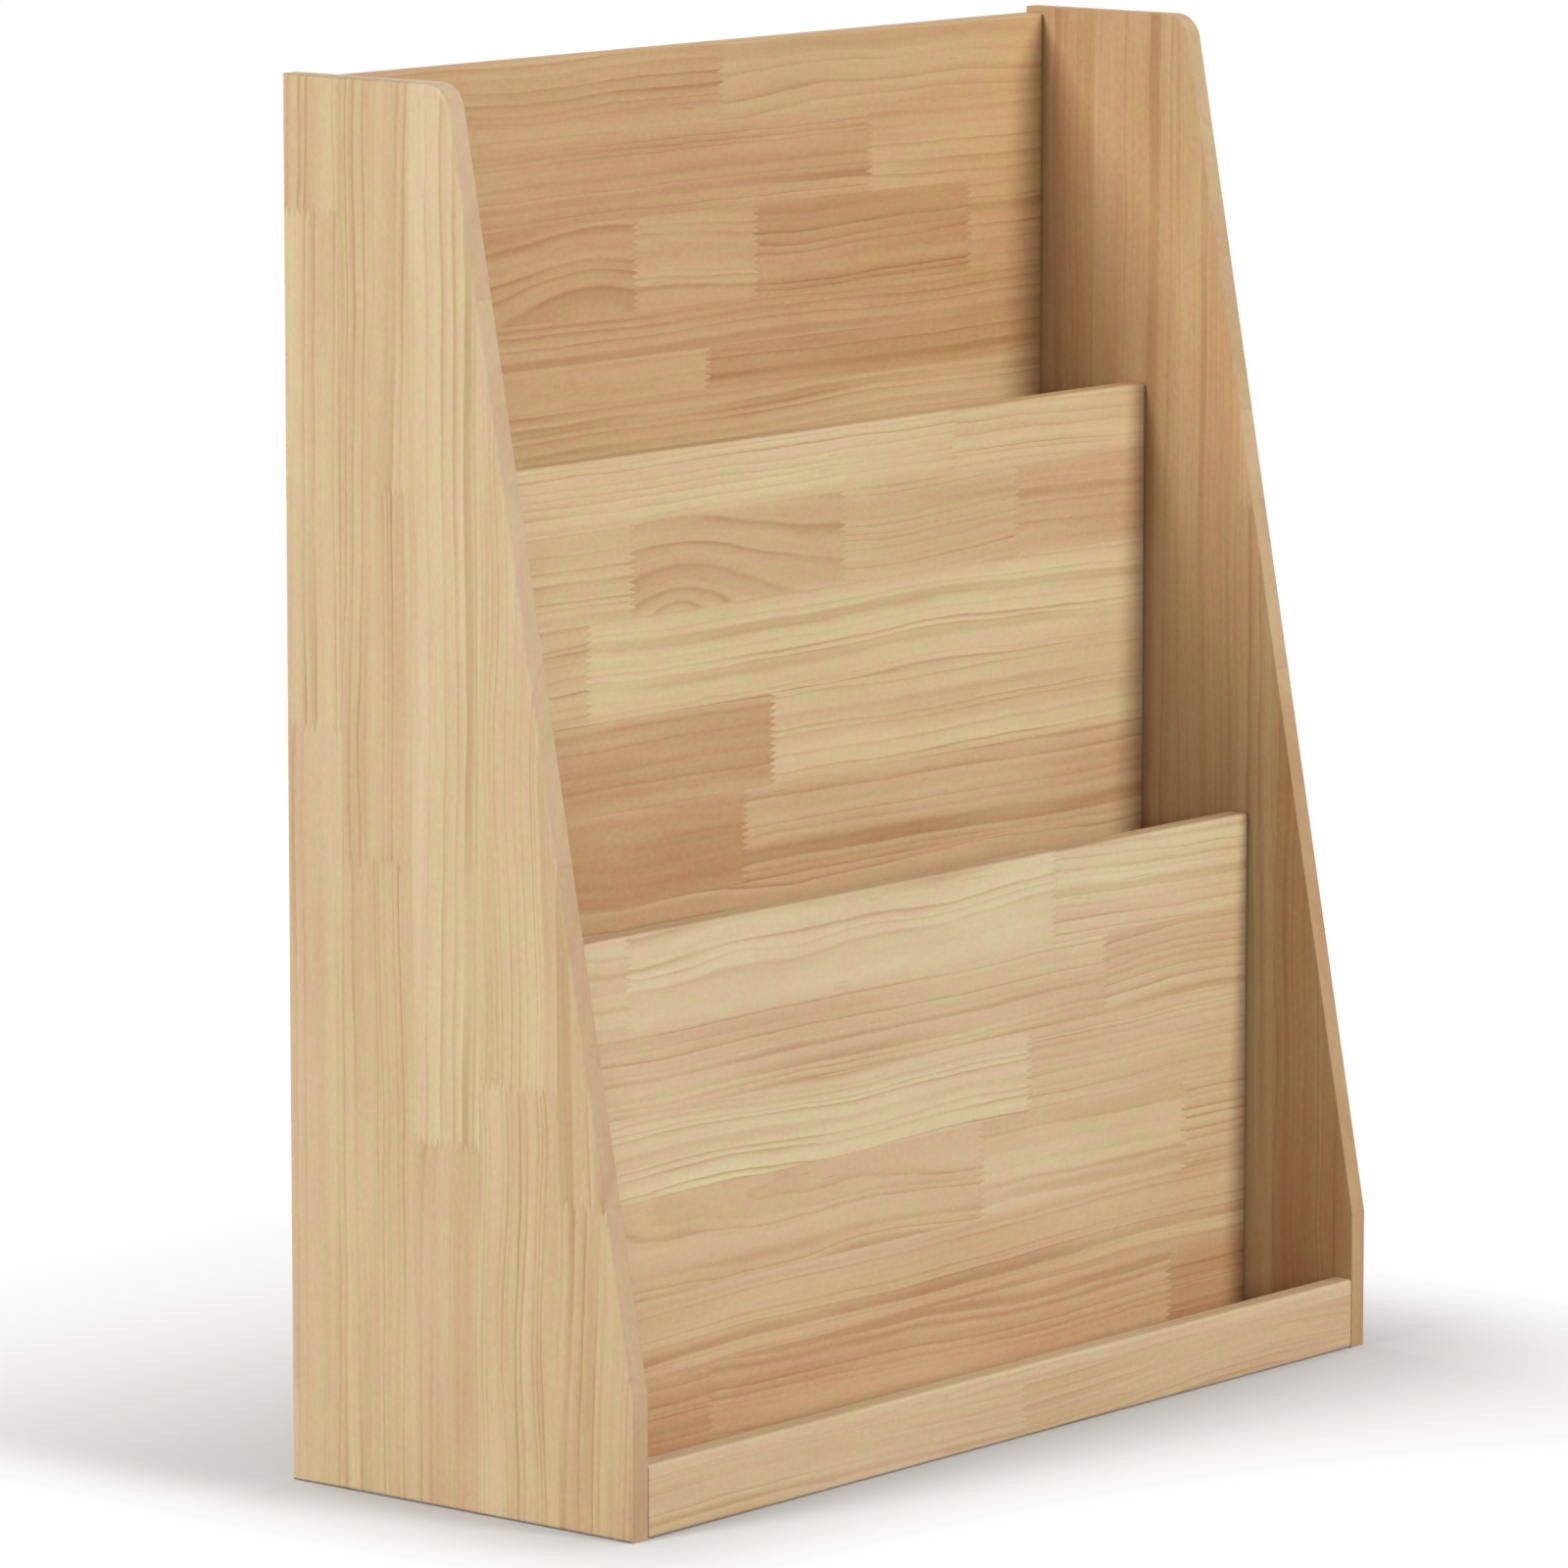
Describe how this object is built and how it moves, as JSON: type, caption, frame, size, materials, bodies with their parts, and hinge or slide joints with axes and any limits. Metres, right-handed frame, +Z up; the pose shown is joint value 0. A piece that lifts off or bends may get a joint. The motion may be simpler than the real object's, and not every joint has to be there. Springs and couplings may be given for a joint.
{
  "type": "children's bookcase",
  "caption": "Free-standing children's bookcase with slant-fronted sides and open stepped pockets that show books face on.",
  "frame": {"origin": "on the floor, under the middle of the bookcase", "axes": "+Z up, +X to the right as seen from the front, front towards -Y"},
  "size_m": [0.6, 0.222, 0.7],
  "materials": {
    "side_wood": "clear matt lacquer on edge-glued softwood",
    "front_wood": "clear matt lacquer on edge-glued softwood",
    "back_wood": "clear matt lacquer on edge-glued softwood",
    "hidden_wood": "clear matt lacquer on edge-glued softwood",
    "dowel_wood": "raw hardwood",
    "cam_zinc": "dull die-cast zinc",
    "bolt_steel": "zinc-plated steel"
  },
  "bodies": {
    "root": {"back_panel": "back_wood", "back_panel_bolt_left_lower": "bolt_steel", "back_panel_bolt_left_upper": "bolt_steel", "back_panel_bolt_right_lower": "bolt_steel", "back_panel_bolt_right_upper": "bolt_steel", "back_panel_cam_left_lower": "cam_zinc", "back_panel_cam_left_upper": "cam_zinc", "back_panel_cam_right_lower": "cam_zinc", "back_panel_cam_right_upper": "cam_zinc", "back_panel_dowel_left_middle": "dowel_wood", "back_panel_dowel_right_middle": "dowel_wood", "bottom_board": "hidden_wood", "bottom_board_dowel_left_back": "dowel_wood", "bottom_board_dowel_left_front": "dowel_wood", "bottom_board_dowel_left_middle": "dowel_wood", "bottom_board_dowel_right_back": "dowel_wood", "bottom_board_dowel_right_front": "dowel_wood", "bottom_board_dowel_right_middle": "dowel_wood", "front_divider": "front_wood", "front_divider_bolt_left_lower": "bolt_steel", "front_divider_bolt_left_upper": "bolt_steel", "front_divider_bolt_right_lower": "bolt_steel", "front_divider_bolt_right_upper": "bolt_steel", "front_divider_cam_left_lower": "cam_zinc", "front_divider_cam_left_upper": "cam_zinc", "front_divider_cam_right_lower": "cam_zinc", "front_divider_cam_right_upper": "cam_zinc", "front_divider_dowel_left_middle": "dowel_wood", "front_divider_dowel_right_middle": "dowel_wood", "front_lip": "front_wood", "front_lip_dowel_left_lower": "dowel_wood", "front_lip_dowel_left_upper": "dowel_wood", "front_lip_dowel_right_lower": "dowel_wood", "front_lip_dowel_right_upper": "dowel_wood", "left_side": "side_wood", "middle_divider": "front_wood", "middle_divider_bolt_left_lower": "bolt_steel", "middle_divider_bolt_left_upper": "bolt_steel", "middle_divider_bolt_right_lower": "bolt_steel", "middle_divider_bolt_right_upper": "bolt_steel", "middle_divider_cam_left_lower": "cam_zinc", "middle_divider_cam_left_upper": "cam_zinc", "middle_divider_cam_right_lower": "cam_zinc", "middle_divider_cam_right_upper": "cam_zinc", "middle_divider_dowel_left_middle": "dowel_wood", "middle_divider_dowel_right_middle": "dowel_wood", "middle_shelf": "hidden_wood", "middle_shelf_dowel_left_back": "dowel_wood", "middle_shelf_dowel_left_front": "dowel_wood", "middle_shelf_dowel_right_back": "dowel_wood", "middle_shelf_dowel_right_front": "dowel_wood", "right_side": "side_wood", "upper_shelf": "hidden_wood", "upper_shelf_dowel_left_back": "dowel_wood", "upper_shelf_dowel_left_front": "dowel_wood", "upper_shelf_dowel_right_back": "dowel_wood", "upper_shelf_dowel_right_front": "dowel_wood"}
  },
  "joints": []
}
